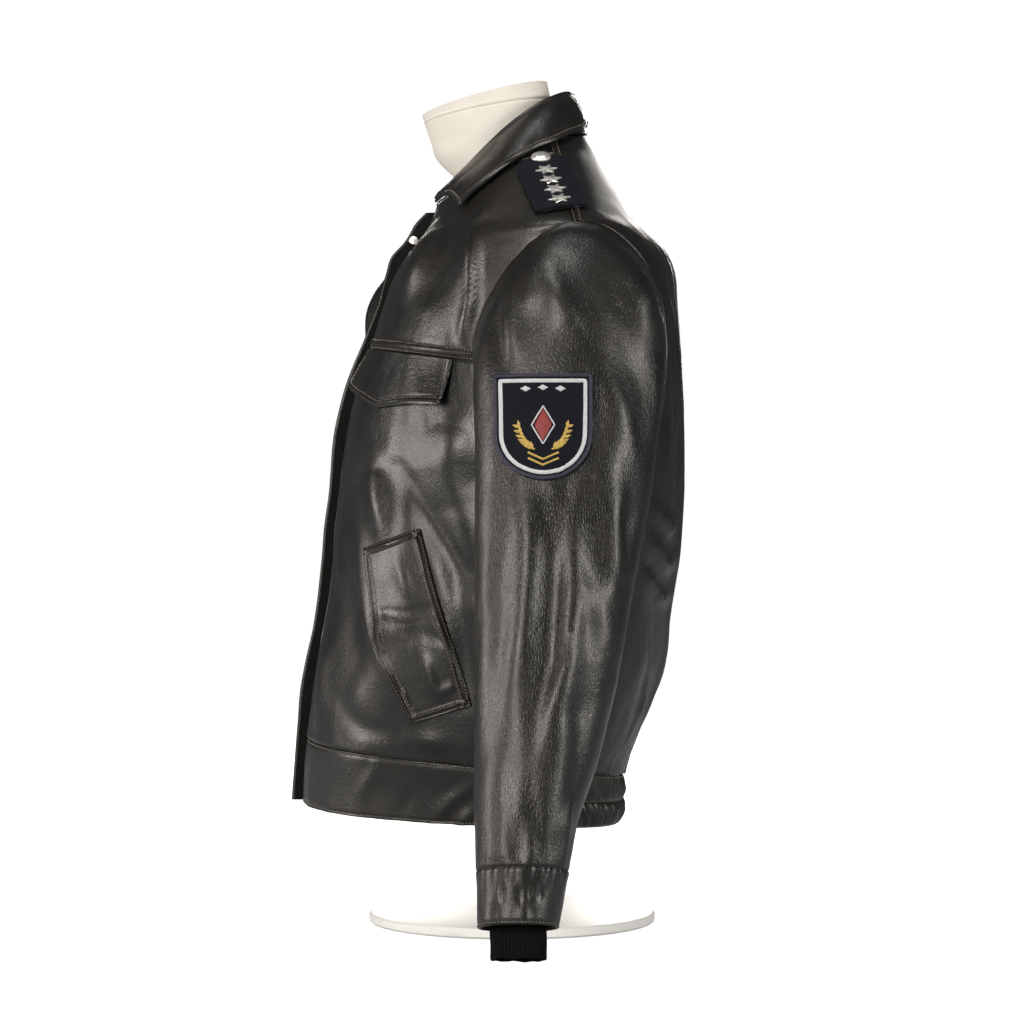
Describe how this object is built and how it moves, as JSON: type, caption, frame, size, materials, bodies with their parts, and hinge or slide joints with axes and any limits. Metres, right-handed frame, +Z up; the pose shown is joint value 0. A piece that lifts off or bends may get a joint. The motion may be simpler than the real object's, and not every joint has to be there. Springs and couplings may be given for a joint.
{
  "type": "police uniform jacket on a dress form",
  "caption": "Waist-length black leather uniform jacket with turned-down collar, shoulder straps, flapped chest pockets and knit cuffs, worn by a limbless dress form on a stand.",
  "frame": {"origin": "centre of the stand's base plate at its underside, on the floor", "axes": "+Z up, the jacket's front faces -Y, the wearer's left is +X"},
  "size_m": [0.8332, 0.3831, 0.8214],
  "materials": {
    "black_leather": "soft black lamb leather with a low sheen and fine grain",
    "black_knit": "black wool rib knit",
    "black_tape": "black woven tape",
    "navy_textile": "navy woven cloth",
    "silver_metal": "silver coloured metal, satin",
    "cream_linen": "cream linen stretched over the form",
    "pale_steel": "pale grey powder coat"
  },
  "bodies": {
    "root": {"back": "black_leather", "base": "pale_steel", "collar": "black_leather", "cuff_left": "black_leather", "cuff_right": "black_leather", "dress_form": "cream_linen", "edge_facing": "black_leather", "epaulette_left": "black_leather", "epaulette_right": "black_leather", "flap_left": "black_leather", "flap_right": "black_leather", "fly_tape": "black_tape", "front_left": "black_leather", "front_right": "black_leather", "hand_pocket_left": "black_leather", "hand_pocket_right": "black_leather", "knit_cuff_left": "black_knit", "knit_cuff_right": "black_knit", "pole": "pale_steel", "rank_slide_left": "navy_textile", "rank_slide_right": "navy_textile", "sleeve_patch": "navy_textile", "snap": "silver_metal", "star_left_1": "silver_metal", "star_left_2": "silver_metal", "star_left_3": "silver_metal", "star_left_4": "silver_metal", "star_right_1": "silver_metal", "star_right_2": "silver_metal", "star_right_3": "silver_metal", "star_right_4": "silver_metal", "strap_button_left": "silver_metal", "strap_button_right": "silver_metal", "under_sleeve_left": "black_leather", "under_sleeve_right": "black_leather", "upper_sleeve_left": "black_leather", "upper_sleeve_right": "black_leather", "waistband_back": "black_leather", "waistband_left": "black_leather", "waistband_right": "black_leather", "yoke_left": "black_leather", "yoke_right": "black_leather"}
  },
  "joints": []
}
